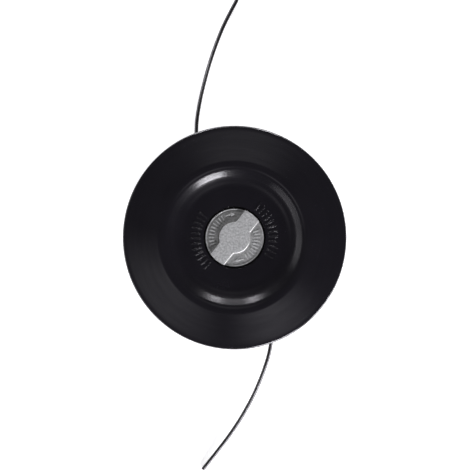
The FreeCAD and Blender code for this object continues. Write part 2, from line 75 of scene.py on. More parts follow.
# Studio. A pale floor under the part and a dim room that shows pale to the camera. Seven soft boxes stand
# low round the part and make the bright arcs in the bowl; three weak ones hang higher and fade outwards.
FLOOR_SIZE = 6.0
FLOOR_COLOUR = (0.80, 0.80, 0.80, 1.0)
FLOOR_GLOW = 0.75
ROOM_COLOUR = (0.98, 0.94, 1.0, 1.0)
ROOM_LIGHT = 0.07
ROOM_FADE = (0.12, 0.28)
SOFT_BOX_DISTANCE = 1.0
LAMP_COLOUR = (0.96, 0.94, 1.0)
MIDDLE_STRENGTH = 3.4


def fill(tree, inputs, given):
    """Gives inputs of a shader node, by name or number, each a value or a socket that it is linked from."""
    for key, value in dict(given).items():
        if isinstance(value, bpy.types.NodeSocket):
            tree.links.new(value, inputs[key])
        else:
            inputs[key].default_value = value


def shader(tree, kind, given=(), **settings):
    """A new shader node with its settings and what its inputs are given."""
    made = tree.nodes.new("ShaderNode" + kind)
    for name, setting in settings.items():
        setattr(made, name, setting)
    fill(tree, made.inputs, given)
    return made


def vectors(tree, operation, *given):
    """What a vector maths node puts out: a number for a length, a distance or a dot product."""
    outputs = shader(tree, "VectorMath", enumerate(given), operation=operation).outputs
    return outputs["Value" if operation in ("LENGTH", "DISTANCE", "DOT_PRODUCT") else "Vector"]


def maths(tree, operation, *given):
    """What a maths node puts out."""
    return shader(tree, "Math", enumerate(given), operation=operation).outputs[0]


def ramp(tree, value, start, end, first, last, interpolation="LINEAR"):
    """A value carried from the range start to end to the range first to last, and held beyond it."""
    given = {"Value": value, "From Min": start, "From Max": end, "To Min": first, "To Max": last}
    return shader(tree, "MapRange", given, interpolation_type=interpolation).outputs["Result"]


def fading(lamp):
    """Lets a lamp's light fall off smoothly from its middle to its edges."""
    lamp.use_nodes = True
    tree = lamp.node_tree
    away = vectors(tree, "DISTANCE", shader(tree, "NewGeometry").outputs["Parametric"], (0.5, 0.5, 0.0))
    strength = ramp(tree, away, 0.0, 0.5, MIDDLE_STRENGTH, 0.0, "SMOOTHSTEP")
    tree.links.new(strength, tree.nodes["Emission"].inputs["Strength"])


def soft_box(name, azimuth, elevation, width, height, power):
    """A rectangular lamp that faces the part, at an azimuth counter-clockwise from +X. Returns the lamp."""
    lamp = bpy.data.lights.new(name, "AREA")
    lamp.shape = "RECTANGLE"
    lamp.size = width
    lamp.size_y = height
    lamp.energy = power
    lamp.color = LAMP_COLOUR
    holder = bpy.data.objects.new(name, lamp)
    a, e = math.radians(azimuth), math.radians(elevation)
    holder.location = (
        SOFT_BOX_DISTANCE * math.cos(a) * math.cos(e),
        SOFT_BOX_DISTANCE * math.sin(a) * math.cos(e),
        SOFT_BOX_DISTANCE * math.sin(e),
    )
    holder.rotation_euler = (math.pi / 2 - e, 0, a + math.pi / 2)
    scene.collection.objects.link(holder)
    return lamp


LOW = 26.0
HIGH = 66.0
soft_box("box_below", 292.0, LOW, 0.38, 0.20, 8.8)
soft_box("box_low_right", 322.0, 13.0, 0.30, 0.16, 4.5)
soft_box("box_top_left", 107.5, LOW, 0.15, 0.18, 2.2)
soft_box("box_top_middle", 88.5, LOW, 0.46, 0.18, 0.95)
soft_box("box_top_right", 72.0, LOW, 0.17, 0.18, 2.2)
soft_box("box_left_above", 174.0, LOW, 0.63, 0.20, 0.95)
soft_box("box_left_below", 213.0, LOW, 0.63, 0.20, 0.95)
fading(soft_box("high_lower_left", 220.0, HIGH, 0.80, 0.34, 0.105))
fading(soft_box("high_lower_right", 296.0, HIGH, 0.50, 0.34, 0.09))
fading(soft_box("high_top", 86.0, HIGH, 0.70, 0.30, 0.055))


def seen_white(tree, *rays):
    """A mask that is 1 for camera rays, for rays through glass and for the other kinds of rays named."""
    path = shader(tree, "LightPath").outputs
    mask = path["Is Camera Ray"]
    for ray in ("Is Transmission Ray", *rays):
        mask = maths(tree, "MAXIMUM", mask, path[ray])
    return mask


# In mirrored rays the room is pale up to a low height and dim above it, because the flats of the black
# cover mirror a dark ceiling in the photograph.
world = bpy.data.worlds.new("room")
scene.world = world
world.use_nodes = True
room = world.node_tree
room.nodes.clear()
toward = shader(room, "TexCoord").outputs["Generated"]
height_seen = shader(room, "SeparateXYZ", {0: toward}).outputs["Z"]
low_part = ramp(room, height_seen, *ROOM_FADE, 1.0, 0.0, "SMOOTHSTEP")
mirrored = maths(room, "MULTIPLY", low_part, shader(room, "LightPath").outputs["Is Glossy Ray"])
white_part = maths(room, "MAXIMUM", seen_white(room), mirrored)
dim = shader(room, "Background", {"Color": ROOM_COLOUR, "Strength": ROOM_LIGHT})
pale = shader(room, "Background", {"Color": (1.0, 1.0, 1.0, 1.0), "Strength": 1.0})
room_mix = shader(room, "MixShader", {"Fac": white_part, 1: dim.outputs[0], 2: pale.outputs[0]})
shader(room, "OutputWorld", {"Surface": room_mix.outputs[0]})

floor_mesh = bpy.data.meshes.new("floor")
half_floor = FLOOR_SIZE / 2
floor_mesh.from_pydata(
    [(-half_floor, -half_floor, 0), (half_floor, -half_floor, 0), (half_floor, half_floor, 0),
     (-half_floor, half_floor, 0)],
    [],
    [(0, 1, 2, 3)],
)
floor = bpy.data.objects.new("floor", floor_mesh)
scene.collection.objects.link(floor)
floor_material = bpy.data.materials.new("pale_floor")
floor_material.use_nodes = True
paint = floor_material.node_tree
paper = paint.nodes["Principled BSDF"]
fill(paint, paper.inputs, {"Base Color": FLOOR_COLOUR, "Roughness": 0.9, "Specular IOR Level": 0.1})
glow = shader(paint, "Emission", {"Strength": FLOOR_GLOW})
lifted = shader(paint, "AddShader", {0: paper.outputs[0], 1: glow.outputs[0]})
seen = {"Fac": seen_white(paint, "Is Glossy Ray"), 1: paper.outputs[0], 2: lifted.outputs[0]}
floor_mix = shader(paint, "MixShader", seen)
paint.links.new(floor_mix.outputs[0], paint.nodes["Material Output"].inputs["Surface"])
floor_mesh.materials.append(floor_material)


# Free line ends. Round drawn nylon line of 2.4 mm, which comes out of an eyelet square to the cup and
# keeps the curl of the spool. Each end leans down from its eyelet, and its tip lies on the floor. One
# side of each end has a painted sheen: a paler colour where light falls on it.
LINE_DIAMETER = 2.4 * MM
LINE_EXIT_ANGLE = 113.0
LINE_EXIT_HEIGHT = 27.9 * MM
LINE_SHEEN_COLOUR = (0.15, 0.15, 0.155)
SHEEN_START = (0.08, 0.24)
SHEEN_END = (0.86, 0.96)
SHEEN_SIDE_EDGE = 0.15

line_routes = {
    "a": (
        (-0.01805, 0.04253, 0.0279),
        (-0.02305, 0.05431, 0.0279),
        (-0.02370, 0.06850, 0.0262),
        (-0.02180, 0.08260, 0.0220),
        (-0.01890, 0.09640, 0.0166),
        (-0.01540, 0.11020, 0.0110),
        (-0.01090, 0.12400, 0.0061),
        (-0.00550, 0.13760, 0.0027),
        (0.00150, 0.15060, 0.00135),
    ),
    "b": (
        (0.01805, -0.04253, 0.0279),
        (0.02305, -0.05431, 0.0279),
        (0.02200, -0.06880, 0.0262),
        (0.01770, -0.08320, 0.0220),
        (0.01220, -0.09730, 0.0166),
        (0.00530, -0.11090, 0.0110),
        (-0.00260, -0.12380, 0.0061),
        (-0.01150, -0.13590, 0.0027),
        (-0.02010, -0.14690, 0.00135),
    ),
}


def object_place(tree):
    """Where a point lies in its object's own coordinates."""
    return shader(tree, "TexCoord").outputs["Object"]


def level_part(tree, vector):
    """A vector with its height taken away."""
    return vectors(tree, "MULTIPLY", vector, (1.0, 1.0, 0.0))


def node_group(name, given, put_out):
    """A shader node group with named sockets. Returns it, what it is given and what it puts out."""
    group = bpy.data.node_groups.new(name, "ShaderNodeTree")
    for sockets, way in ((given, "INPUT"), (put_out, "OUTPUT")):
        for socket, kind in sockets.items():
            group.interface.new_socket(socket, in_out=way, socket_type="NodeSocket" + kind)
    return group, group.nodes.new("NodeGroupInput").outputs, group.nodes.new("NodeGroupOutput").inputs


def fine_grain_group():
    """Moulded skin as a height and a mask: a fine and a coarse noise of the object's coordinates."""
    group, given, out = node_group(
        "moulded_skin", {"Fine Scale": "Float", "Cloud Scale": "Float"}, {"Height": "Float", "Cloud": "Float"}
    )
    place = object_place(group)
    for scale, detail, result in (("Fine Scale", 3.0, "Height"), ("Cloud Scale", 4.0, "Cloud")):
        noise = shader(group, "TexNoise", {"Vector": place, "Scale": given[scale], "Detail": detail})
        group.links.new(noise.outputs["Fac"], out[result])
    return group


moulded_skin = fine_grain_group()
NOISE_RANGE = (0.3, 0.7)
NYLON_CLOUDS = 45.0


def insides(material):
    """A material's node tree and the inputs of its surface."""
    tree = material.node_tree
    return tree, tree.nodes["Principled BSDF"].inputs


def fresh(name):
    """A new material, its node tree and the inputs of its surface."""
    material = bpy.data.materials.new(name)
    material.use_nodes = True
    return material, *insides(material)


def bumped(tree, height, depth, strength=1.0):
    """The normal of a surface that a height is laid over, as deep as said."""
    given = {"Strength": strength, "Distance": depth, "Height": height}
    return shader(tree, "Bump", given).outputs["Normal"]


def mixed(tree, factor, first, second, blend="MIX"):
    """A colour mixed from two by a factor."""
    given = {"Factor": factor, "A": first, "B": second}
    return shader(tree, "Mix", given, data_type="RGBA", blend_type=blend).outputs["Result"]


def shades(colour, darker, lighter):
    """A colour made darker and made lighter, as two opaque colours."""
    return [(*[min(1.0, c * share) for c in colour], 1.0) for share in (darker, lighter)]


def nylon(name, colour, rough, grain, depth, coat=0.0, coat_rough=0.1):
    """Moulded or drawn nylon: its roughness is clouded between two values, its skin finely grained."""
    material, tree, surface = fresh(name)
    scales = {"Fine Scale": grain, "Cloud Scale": NYLON_CLOUDS}
    skin = shader(tree, "Group", scales, node_tree=moulded_skin).outputs
    fill(tree, surface, {
        "Base Color": mixed(tree, skin["Cloud"], *shades(colour, 0.8, 1.25)),
        "Roughness": ramp(tree, skin["Cloud"], *NOISE_RANGE, *rough),
        "Normal": bumped(tree, skin["Height"], depth),
        "Coat Weight": coat,
        "Coat Roughness": coat_rough,
    })
    return material


line_nylon = nylon("line_nylon", (0.010, 0.010, 0.011), rough=(0.20, 0.30), grain=3000.0, depth=0.004 * MM)


def painted_side_sheen(material, colour):
    """Paints a sheen on the line's side whose normal points counter-clockwise round the Z axis, up to near
    its edge.
    """
    tree, surface = insides(material)
    place = shader(tree, "TexCoord").outputs
    outwards = vectors(tree, "NORMALIZE", level_part(tree, place["Object"]))
    sideways = vectors(tree, "CROSS_PRODUCT", (0.0, 0.0, 1.0), outwards)
    facing = vectors(tree, "DOT_PRODUCT", place["Normal"], sideways)
    from_middle = ramp(tree, facing, *SHEEN_START, 0.0, 1.0, "SMOOTHSTEP")
    to_edge = ramp(tree, facing, *SHEEN_END, 1.0, SHEEN_SIDE_EDGE, "SMOOTHSTEP")
    mask = maths(tree, "MULTIPLY", from_middle, to_edge)
    dark = surface["Base Color"].links[0].from_socket
    fill(tree, surface, {"Base Color": mixed(tree, mask, dark, (*colour, 1.0))})


# Painted sheen: the side of each line end that light falls on gets a paler colour.
painted_side_sheen(line_nylon, LINE_SHEEN_COLOUR)

for mark, route in line_routes.items():
    curve = bpy.data.curves.new("line_end_" + mark, "CURVE")
    curve.dimensions = "3D"
    spline = curve.splines.new("NURBS")
    spline.points.add(len(route) - 1)
    for point, place in zip(spline.points, route):
        point.co = (*place, 1.0)
    spline.order_u = 3
    spline.use_endpoint_u = True
    spline.resolution_u = 12
    curve.bevel_depth = LINE_DIAMETER / 2
    curve.bevel_resolution = 6
    curve.use_fill_caps = True
    curve.materials.append(line_nylon)
    end = bpy.data.objects.new("line_end_" + mark, curve)
    scene.collection.objects.link(end)
    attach(end, "head")
    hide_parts("free_line_" + mark)

# Cover. A saucer of glossy black nylon, injection moulded in one piece: a flat bowl floor round the
# knob's pocket, a smooth wall up to the lip, and a shallow cone that falls to a full round rim.
BOWL_FLOOR = 43.5 * MM
COVER_WALL = 2.6 * MM
COVER_TURNS = 288
CONE_STEPS = 8
POCKET_HOLE = 8.8 * MM
POCKET_EDGE = 0.08 * MM
POCKET_RADIUS = 18.7 * MM
POCKET_OUTSIDE = 20.6 * MM
LEDGE_TOP = 36.8 * MM
LEDGE_BOTTOM = 34.6 * MM
BOWL_FLOOR_RADIUS = 29.5 * MM
BOWL_WALL_SLOPE = math.radians(32.0)
BOWL_FOOT_ROUND = 14.4 * MM
LIP_RADIUS = 43.9 * MM
LIP_ROUND = 7.4 * MM
LIP_FLAT = 0.7 * MM
BROW_ROUND = 10.0 * MM
DISC_FALL = math.radians(10.0)
DISC_RADIUS = 67.0 * MM
SEAT_INNER, SEAT_OUTER, SKIRT_INNER = 47.4 * MM, 52.6 * MM, 50.2 * MM
SEAT_HEIGHT, SKIRT_BOTTOM = 43.0 * MM, 40.0 * MM
RIBS = 24
RIB_START, RIB_END = 51.4 * MM, 64.0 * MM
RIB_DEPTH, RIB_END_DEPTH, RIB_THICKNESS = 3.6 * MM, 0.3 * MM, 1.4 * MM
KEYS = 4
KEY_END, KEY_WIDTH = 49.8 * MM, 7.6 * MM
KEY_DEPTH, KEY_ROOT = 2.8 * MM, 0.5 * MM
COVER_LOOK = {
    "colour": (0.0064, 0.0058, 0.0086), "rough": (0.17, 0.23), "grain": 900.0, "depth": 0.006 * MM,
    "coat": 0.7, "coat_rough": 0.12,
}
STREAK_RINGS = 420.0
STREAKS_ROUND = 2.2
DUSTY_GLOSS = 0.25
DUST_FULL_TO = 34.0 * MM
DUST_NONE_FROM = 37.0 * MM
DUST_ROUGH = 0.06


def around(angles):
    """Places on a circle of radius 1 at each angle: x = cos a, y = sin a."""
    return np.stack([np.cos(angles), np.sin(angles)], axis=1)


def sweep(start, slope_in, slope_out, radius, steps):
    """Arc of a section from a start point: the slope goes evenly from one value to the other, and the
    point stays one radius away from a centre that lies square to the section."""
    side = np.sign(slope_out - slope_in)
    centre = np.array(start) + side * radius * np.array([-np.sin(slope_in), np.cos(slope_in)])
    slopes = np.linspace(slope_in, slope_out, steps + 1)[1:]
    points = centre + side * radius * np.stack([np.sin(slopes), -np.cos(slopes)], axis=1)
    return points, slopes


def cover_top():
    """Upper face of the cover from bowl floor to rim: points of the section and the slope at each."""
    points = [np.array([[BOWL_FLOOR_RADIUS, BOWL_FLOOR]])]
    slopes = [np.zeros(1)]
    foot, foot_slopes = sweep(points[0][0], 0.0, BOWL_WALL_SLOPE, BOWL_FOOT_ROUND, 24)
    wall_r = LIP_RADIUS - LIP_ROUND * np.sin(BOWL_WALL_SLOPE)
    wall_z = foot[-1, 1] + (wall_r - foot[-1, 0]) * np.tan(BOWL_WALL_SLOPE)
    lip, lip_slopes = sweep((wall_r, wall_z), BOWL_WALL_SLOPE, 0.0, LIP_ROUND, 16)
    lip_end = lip[-1] + (LIP_FLAT, 0.0)
    brow, brow_slopes = sweep(lip_end, 0.0, -DISC_FALL, BROW_ROUND, 6)
    half = COVER_WALL / 2
    rim_r = DISC_RADIUS - half + half * np.sin(DISC_FALL)
    rim_z = brow[-1, 1] - (rim_r - brow[-1, 0]) * np.tan(DISC_FALL)
    cone_r = np.linspace(brow[-1, 0], rim_r, CONE_STEPS + 1)[1:]
    cone_z = brow[-1, 1] + (rim_z - brow[-1, 1]) * (cone_r - brow[-1, 0]) / (rim_r - brow[-1, 0])
    points += [foot, [(wall_r, wall_z)], lip, [lip_end], brow, np.stack([cone_r, cone_z], axis=1)]
    cone_slopes = np.full(CONE_STEPS, -DISC_FALL)
    slopes += [foot_slopes, [BOWL_WALL_SLOPE], lip_slopes, [0.0], brow_slopes, cone_slopes]
    return np.concatenate(points), np.concatenate(slopes)


def below(points, slopes, depth):
    """Points square below a face, as deep as said."""
    return points + depth * np.stack([np.sin(slopes), -np.cos(slopes)], axis=1)


def smoothed(mesh, angle):
    """Shades a mesh smooth, with sharp edges where its faces meet at more than an angle in degrees."""
    mesh.shade_smooth()
    mesh.set_sharp_from_angle(angle=math.radians(angle))


def finished(name, points, faces, material, body, slot, smooth_angle):
    """A piece from arrays of points and faces, smooth shaded, riding on its body."""
    mesh = bpy.data.meshes.new(name)
    mesh.from_pydata(np.asarray(points).tolist(), [], [list(map(int, face)) for face in faces])
    mesh.validate()
    smoothed(mesh, smooth_angle)
    mesh.materials.append(material)
    piece = bpy.data.objects.new(name, mesh)
    scene.collection.objects.link(piece)
    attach(piece, body)
    return piece


def grid_faces(shape, wraps=(0, 0)):
    """Faces with four corners between the numbered places of a grid. A 1 in wraps also joins the last row,
    or the last column, to the first."""
    index = np.pad(np.arange(math.prod(shape)).reshape(shape), [(0, wrap) for wrap in wraps], mode="wrap")
    return np.stack([index[:-1, :-1], index[:-1, 1:], index[1:, 1:], index[1:, :-1]], axis=2).reshape(-1, 4)


def turned_closed(section, steps):
    """Points and faces of a closed section carried round the axis: x = r cos a, y = r sin a, z = z. The
    section goes clockwise as seen with the axis on its left, so that the faces point outwards."""
    angles = np.arange(steps) * 2 * np.pi / steps
    r, z = section[:, 0], section[:, 1]
    level = np.broadcast_to(z, (steps, len(z)))
    grid = np.stack([np.outer(np.cos(angles), r), np.outer(np.sin(angles), r), level], axis=2)
    return grid.reshape(-1, 3), grid_faces((steps, len(z)), (1, 1))


top_points, top_slopes = cover_top()
under_points = below(top_points, top_slopes, COVER_WALL)
rim_middle = below(top_points[-1:], top_slopes[-1:], COVER_WALL / 2)[0]
rim_angles = np.pi / 2 - DISC_FALL - np.linspace(0, np.pi, 13)[1:-1]
rim_round = rim_middle + COVER_WALL / 2 * around(rim_angles)
edge_middle = np.array([POCKET_RADIUS + POCKET_EDGE, BOWL_FLOOR - POCKET_EDGE])
pocket_edge = edge_middle + POCKET_EDGE * around(np.linspace(np.pi, np.pi / 2, 6))


def height_under(radius):
    """Height of the cone's underside at a radius, read along the straight cone."""
    return np.interp(radius, *under_points[-CONE_STEPS:].T)


inner_side = under_points[under_points[:, 0] < SEAT_INNER][::-1]
outer_side = under_points[under_points[:, 0] > SEAT_OUTER][::-1]
cover_section = np.concatenate([
    [(POCKET_HOLE, LEDGE_BOTTOM), (POCKET_HOLE, LEDGE_TOP), (POCKET_RADIUS, LEDGE_TOP)],
    pocket_edge,
    top_points,
    rim_round,
    outer_side,
    [(SEAT_OUTER, height_under(SEAT_OUTER)), (SEAT_OUTER, SKIRT_BOTTOM), (SKIRT_INNER, SKIRT_BOTTOM),
     (SKIRT_INNER, SEAT_HEIGHT), (SEAT_INNER, SEAT_HEIGHT),
     (SEAT_INNER, np.interp(SEAT_INNER, *under_points.T))],
    inner_side,
    [(POCKET_OUTSIDE, BOWL_FLOOR - COVER_WALL), (POCKET_OUTSIDE, LEDGE_BOTTOM)],
])


def joined(*parts):
    """Pieces as points and faces, put in one list without welding them."""
    points, faces, start = [], [], 0
    for part_points, part_faces in parts:
        points.append(np.asarray(part_points))
        faces += [[int(k) + start for k in face] for face in part_faces]
        start += len(part_points)
    return np.concatenate(points), faces


def turned_copies(points, faces, angles):
    """Copies of a piece turned about the axis by each angle in degrees."""
    copies = []
    for angle in np.radians(angles):
        c, s = np.cos(angle), np.sin(angle)
        copies.append((points @ np.array([[c, s, 0], [-s, c, 0], [0, 0, 1]]), faces))
    return joined(*copies)


def fins(profile, thickness, angles):
    """Upright flat ribs: a closed outline of radius and height, pushed out half the thickness to each side
    of the plane y = 0, and turned about the axis by each angle in degrees."""
    r, z = np.array(profile, float).T
    count = len(r)
    side = np.full(count, thickness / 2)
    prism = np.stack([np.tile(r, 2), np.concatenate([-side, side]), np.tile(z, 2)], axis=1)
    ring = np.arange(count)
    ahead = np.roll(ring, -1)
    walls = np.stack([ring, ahead, ahead + count, ring + count], axis=1).tolist()
    caps = [ring[::-1].tolist(), (ring + count).tolist()]
    return turned_copies(prism, walls + caps, angles)


half_wall = COVER_WALL / 2 / np.cos(DISC_FALL)
start_height, end_height = height_under(RIB_START), height_under(RIB_END)
ribs = fins(
    [(RIB_START, start_height + half_wall), (RIB_START, start_height - RIB_DEPTH),
     (RIB_END, end_height - RIB_END_DEPTH), (RIB_END, end_height + half_wall)],
    RIB_THICKNESS,
    (np.arange(RIBS) + 0.5) * 360.0 / RIBS,
)
keys = fins(
    [(SEAT_INNER, SEAT_HEIGHT + KEY_ROOT), (SEAT_INNER, SEAT_HEIGHT - KEY_DEPTH),
     (KEY_END, SEAT_HEIGHT - KEY_DEPTH), (KEY_END, SEAT_HEIGHT + KEY_ROOT)],
    KEY_WIDTH,
    (np.arange(KEYS) + 0.5) * 360.0 / KEYS,
)
cover_points, cover_faces = joined(turned_closed(cover_section, COVER_TURNS), ribs, keys)


def wiped_streaks(material, least, most):
    """Lets the clear gloss come and go in faint streaks round the axis, as grass and wiping leave it: noise
    of the direction from the axis, and much finer of the radius. Dust dulls the floor of the bowl."""
    tree, surface = insides(material)
    flat = level_part(tree, object_place(tree))
    reach = vectors(tree, "LENGTH", flat)
    rings = shader(tree, "CombineXYZ", {"Z": maths(tree, "MULTIPLY", reach, STREAK_RINGS)}).outputs[0]
    round_axis = vectors(tree, "NORMALIZE", flat)
    both = vectors(tree, "MULTIPLY_ADD", round_axis, (STREAKS_ROUND, STREAKS_ROUND, 0.0), rings)
    streaks = shader(tree, "TexNoise", {"Vector": both, "Scale": 1.0, "Detail": 5.0, "Roughness": 0.6})
    gloss = ramp(tree, streaks.outputs["Fac"], *NOISE_RANGE, least, most)
    clean = ramp(tree, reach, DUST_FULL_TO, DUST_NONE_FROM, DUSTY_GLOSS, 1.0, "SMOOTHSTEP")
    duller = maths(tree, "MULTIPLY_ADD", clean, -DUST_ROUGH, DUST_ROUGH)
    fill(tree, surface, {
        "Coat Weight": maths(tree, "MULTIPLY", gloss, clean),
        "Roughness": maths(tree, "ADD", surface["Roughness"].links[0].from_socket, duller),
    })


cover_nylon = nylon("cover_nylon", **COVER_LOOK)
wiped_streaks(cover_nylon, 0.45, 0.95)
cover = finished("saucer_cover", cover_points, cover_faces, cover_nylon, "head", "cover_nylon", 40.0)
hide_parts("cover_disc")

# Bowl marks. Two rows of plain raised ticks on the bowl floor, moulded with the cover, which help to
# see how far the knob has turned. They stand where such covers carry raised marks.
TICK_FROM, TICK_TO = 20.4 * MM, 26.2 * MM
TICK_WIDTH = 1.1 * MM
TICK_HEIGHT = 0.35 * MM
TICKS_A_ROW = 12
TICK_PITCH = 7.4
TICK_ROWS = (12.5, 185.0)
TICK_ROOT = 0.2 * MM
TICK_EASE = 0.15 * MM


def tick(inner, outer, width, bottom, top, ease):
    """A raised bar with round ends, along +X: its outline is a long circle, drawn in a little at the top."""
    half, turns = width / 2, 16
    angles = (np.arange(turns) + 0.5) * 2 * np.pi / turns
    out = around(angles)
    ends = np.where(out[:, :1] > 0, outer - half, inner + half) * np.array([[1.0, 0.0]])
    rings = [(half, bottom), (half, top - ease), (half - 0.3 * ease, top - 0.3 * ease), (half - ease, top)]
    points = np.concatenate([
        np.column_stack([ends + reach * out, np.full(turns, height)]) for reach, height in rings
    ])
    index = np.arange(len(points)).reshape(len(rings), turns)
    faces = grid_faces(index.shape, (0, 1)).tolist()
    return points, faces + [index[-1].tolist(), index[0][::-1].tolist()]


tick_row = (np.arange(TICKS_A_ROW) - (TICKS_A_ROW - 1) / 2) * TICK_PITCH
tick_angles = np.concatenate([tick_row + middle for middle in TICK_ROWS])
one_tick = tick(TICK_FROM, TICK_TO, TICK_WIDTH, BOWL_FLOOR - TICK_ROOT, BOWL_FLOOR + TICK_HEIGHT, TICK_EASE)
mark_points, mark_faces = turned_copies(*one_tick, tick_angles)
rubbed_nylon = nylon("rubbed_nylon", **COVER_LOOK)
finished("bowl_marks", mark_points, mark_faces, rubbed_nylon, "head", "cover_nylon", 60.0)

# Knob. A small die casting in aluminium, tumbled: a round head with two finger pockets, a bar and a
# round boss between them, and a neck that holds the nut. Each pocket has an arrow and ticks in relief.
KNOB_TOP = 44.3 * MM
KNOB_BOTTOM = 37.8 * MM
KNOB_RADIUS = 17.5 * MM
KNOB_EDGE = 0.3 * MM
BAR_HALF = 5.15 * MM
BOSS_RADIUS = 9.3 * MM
BAR_DIRECTION = math.radians(51.5)
POCKET_DEPTH = 1.6 * MM
POCKET_FALL = 0.8 * MM
SIDE_DRAFT = 0.40 * MM
TOP_ROUND, TOP_ROUND_SHARE = 0.30 * MM, 0.15
FOOT_ROUND, FOOT_ROUND_SHARE = 0.40 * MM, 0.22
NECK_RADIUS, NECK_END, NECK_EDGE = 8.4 * MM, 35.2 * MM, 0.3 * MM
NUT_RADIUS, NUT_TOP = 6.4 * MM, 42.4 * MM
SIDE_COLUMNS = 269
END_COLUMNS = 33
FINE_ROWS_FROM = 0.88
RELIEF_HEIGHT = 0.34 * MM
RELIEF_HALF_WIDTH = 0.5 * MM
RELIEF_EASE = 0.16 * MM
KNOB_TICK_FROM, KNOB_TICK_TO = 11.5 * MM, 15.5 * MM
KNOB_TICKS = np.radians(np.linspace(70.0, 145.0, 10))
ARROW_ANGLE = math.radians(48.0)
ARROW_RADIUS, ARROW_SHAFT, ARROW_HEAD, ARROW_TAPER = 13.9 * MM, 3.6 * MM, 1.5 * MM, 0.62
RIM_BEAD = 0.35 * MM
CAST_SKIN = 0.08 * MM
# Painted light on the knob: more shade in the pocket on the shaded side of the bar, on its walls and round
# the relief, and a highlight on the lit pocket's walls; oxide in the hollows and rubbed relief tops too.
SHADED_POCKET_DARKENING = 0.62
LIT_POCKET_DARKENING = 0.38
DARKENED_DEPTH = 1.1 * MM
SHADED_WALL_TOP, SHADED_WALL_FOOT = 0.15 * MM, 1.7 * MM
RELIEF_SHADE = 0.60
SHADE_AND_OXIDE_TINT = (0.30, 0.30, 0.285, 1.0)
RUBBED_RELIEF = 0.75
HIGHLIGHT_AND_WEAR_TINT = (0.95, 0.95, 0.93, 1.0)
RUBBED_SMOOTHER = 0.34
rim_start = KNOB_RADIUS - KNOB_EDGE
bead_start = rim_start - 0.5 * MM


def smooth_max(a, b, width):
    """The larger of two values, rounded where they come within a width of each other."""
    near = np.clip(width - np.abs(a - b), 0, None) / width
    return np.maximum(a, b) + near**2 * width / 4


def side_angles(spread):
    """Polar angles of one side of the bar, from rim to rim, at a distance outside its top outline."""
    end = np.arcsin((BAR_HALF + spread) / rim_start)
    return np.linspace(end, np.pi - end, SIDE_COLUMNS)


def side_radius(angles, spread):
    """Radius of the bar's side at a polar angle: the bar's straight side or the boss, whichever is wider."""
    straight = (BAR_HALF + spread) / np.sin(angles)
    return np.minimum(smooth_max(straight, np.full_like(angles, BOSS_RADIUS + spread), 0.8 * MM), rim_start)


def soft_step(value, width):
    """0 where the value is negative, 1 where it is past the width, smooth between."""
    t = np.clip(value / width, 0, 1)
    return t * t * (3 - 2 * t)


def pocket_floor(radius):
    """Height of the pocket floor: level under the boss, falling evenly from there, with a bead at the rim."""
    share = np.clip((radius - BOSS_RADIUS) / (rim_start - BOSS_RADIUS), 0, 1)
    return KNOB_TOP - POCKET_DEPTH - POCKET_FALL * share + RIM_BEAD * soft_step(radius - bead_start, 0.3 * MM)


def pocket_relief(angles, radius):
    """Raised marks on a pocket floor, from 0 to 1: ticks across a band, and a clockwise arrow beyond them."""
    half, ease = RELIEF_HALF_WIDTH, RELIEF_EASE
    ticks = np.zeros_like(radius)
    for middle in KNOB_TICKS:
        across = np.abs(radius * np.sin(angles - middle))
        ticks = np.maximum(ticks, soft_step(half - across, ease))
    ticks *= soft_step(radius - KNOB_TICK_FROM, ease) * soft_step(KNOB_TICK_TO - radius, ease)
    along = radius * (ARROW_ANGLE - angles)
    aside = np.abs(radius - ARROW_RADIUS)
    shaft = soft_step(half - aside, ease) * soft_step(ARROW_SHAFT + along, ease) * soft_step(-along, ease)
    head = soft_step(ARROW_HEAD - ARROW_TAPER * along - aside, ease) * soft_step(along + ease, ease)
    return np.maximum(ticks, np.maximum(shaft, head))


# The side of the bar goes down in levels: how far out of the top outline, and what share of the depth down
arc = np.linspace(0, np.pi / 2, 6)
levels = np.concatenate([
    np.stack([TOP_ROUND * (np.sin(arc) - 1), TOP_ROUND_SHARE * (1 - np.cos(arc))], axis=1),
    [(SIDE_DRAFT / 2, 0.45)],
    np.stack([
        SIDE_DRAFT + FOOT_ROUND * (1 - np.cos(arc)), 1 - FOOT_ROUND_SHARE * (1 - np.sin(arc))
    ], axis=1),
])
wall_rows = []
for spread, share in levels:
    angles = side_angles(spread)
    radius = side_radius(angles, spread)
    height = KNOB_TOP - share * (KNOB_TOP - pocket_floor(radius))
    wall_rows.append(np.stack([angles, radius, height], axis=1))
floor_rows = []
foot_angles, foot_radius = wall_rows[-1][:, 0], wall_rows[-1][:, 1]
for share in np.concatenate([np.linspace(0, FINE_ROWS_FROM, 44), np.linspace(FINE_ROWS_FROM, 1, 13)[1:]]):
    radius = foot_radius + share * (rim_start - foot_radius)
    fade = soft_step(np.minimum(radius - foot_radius, rim_start - radius), 0.25 * MM)
    height = pocket_floor(radius) + RELIEF_HEIGHT * fade * pocket_relief(foot_angles, radius)
    floor_rows.append(np.stack([foot_angles, radius, height], axis=1))
top_end = np.arcsin((BAR_HALF + levels[0][0]) / rim_start)
end_angles = np.linspace(-top_end, top_end, END_COLUMNS)
end_arc = np.stack([end_angles, np.full(END_COLUMNS, rim_start), np.full(END_COLUMNS, KNOB_TOP)], axis=1)


def half_turn(polar):
    """The same polar points on the other side of the axis."""
    return polar + (np.pi, 0, 0)


def polar_surface(rows, wraps=(0, 0), turn=0.0):
    """Points of rows of polar places (angle, radius, height), with a turn added to each angle: x = r cos a,
    y = r sin a, z = z; and the faces between each row and the one after it."""
    a, r, z = np.moveaxis(np.array(rows), -1, 0)
    a = a + turn
    points = np.stack([r * np.cos(a), r * np.sin(a), z], axis=-1)
    return points.reshape(-1, 3), grid_faces(a.shape, wraps)


